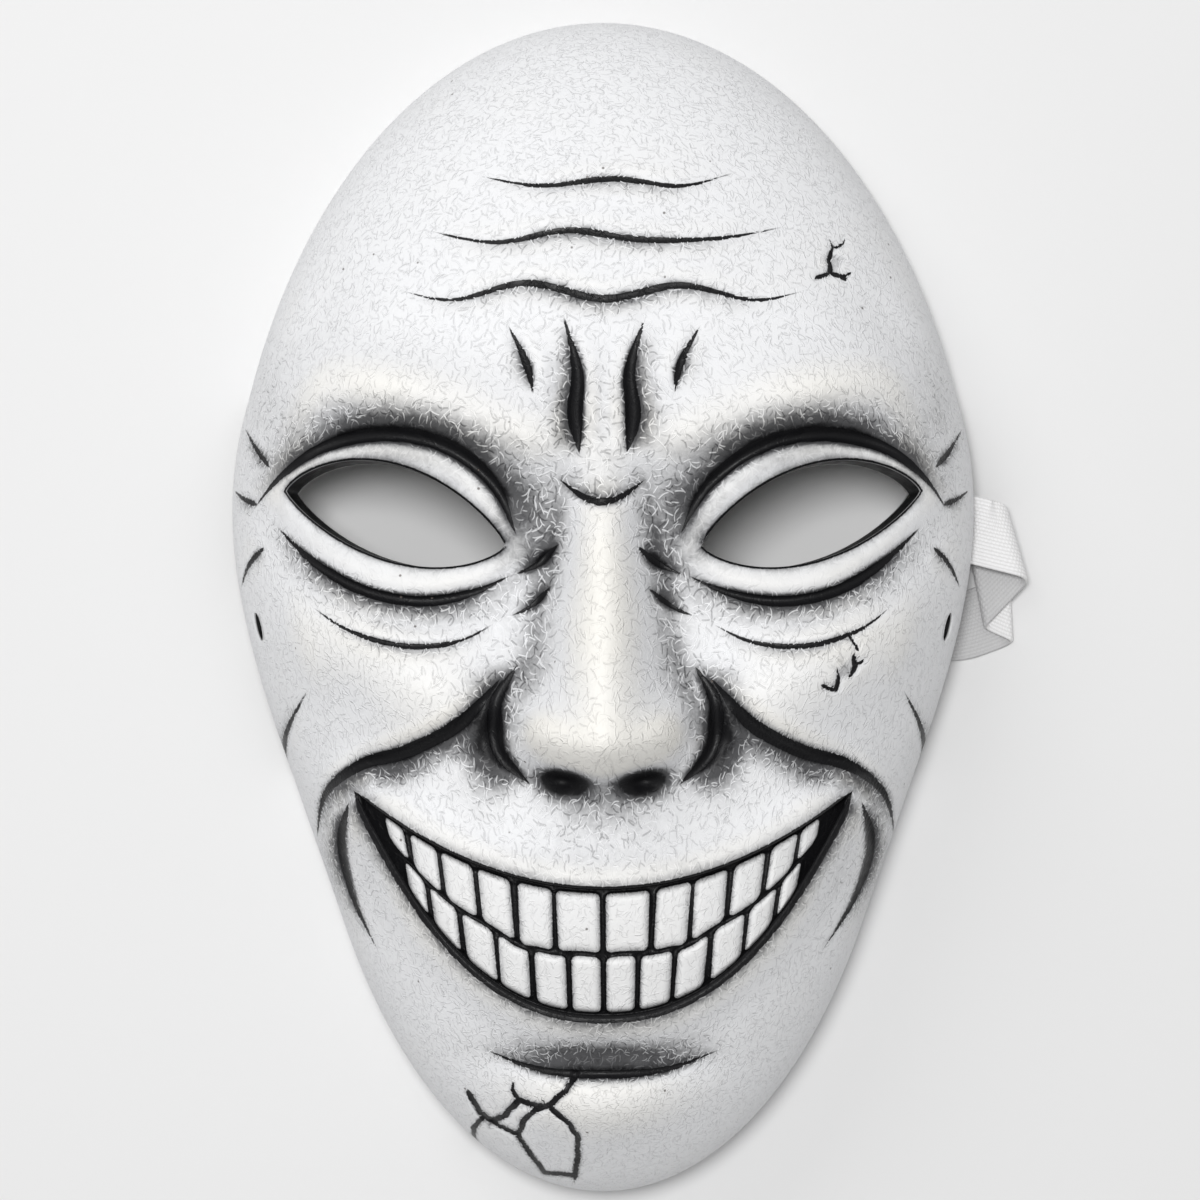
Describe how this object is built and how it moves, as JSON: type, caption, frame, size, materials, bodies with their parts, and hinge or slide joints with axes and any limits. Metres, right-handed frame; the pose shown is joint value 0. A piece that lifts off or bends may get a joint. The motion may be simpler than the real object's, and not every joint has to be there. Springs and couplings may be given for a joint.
{
  "type": "horror mask",
  "caption": "Hollow white full-face horror mask with a toothy grin, heavy brow, open eye holes and black wash in its folds, with a loose flat elastic strap.",
  "frame": {"origin": "middle of the rim's flat plane, on the mirror plane of the face, half way from chin to crown", "axes": "+X to the right of a viewer who faces the mask, +Y up the face from chin to crown, +Z out of the face; the mask lies face up on its rim"},
  "size_m": [0.1776, 0.262, 0.0876],
  "materials": {
    "shell_resin": "satin white with black wash in the folds",
    "strap_elastic": "woven ribbed elastic"
  },
  "bodies": {
    "root": {"mask_shell": "shell_resin", "elastic_strap": "strap_elastic"}
  },
  "joints": []
}
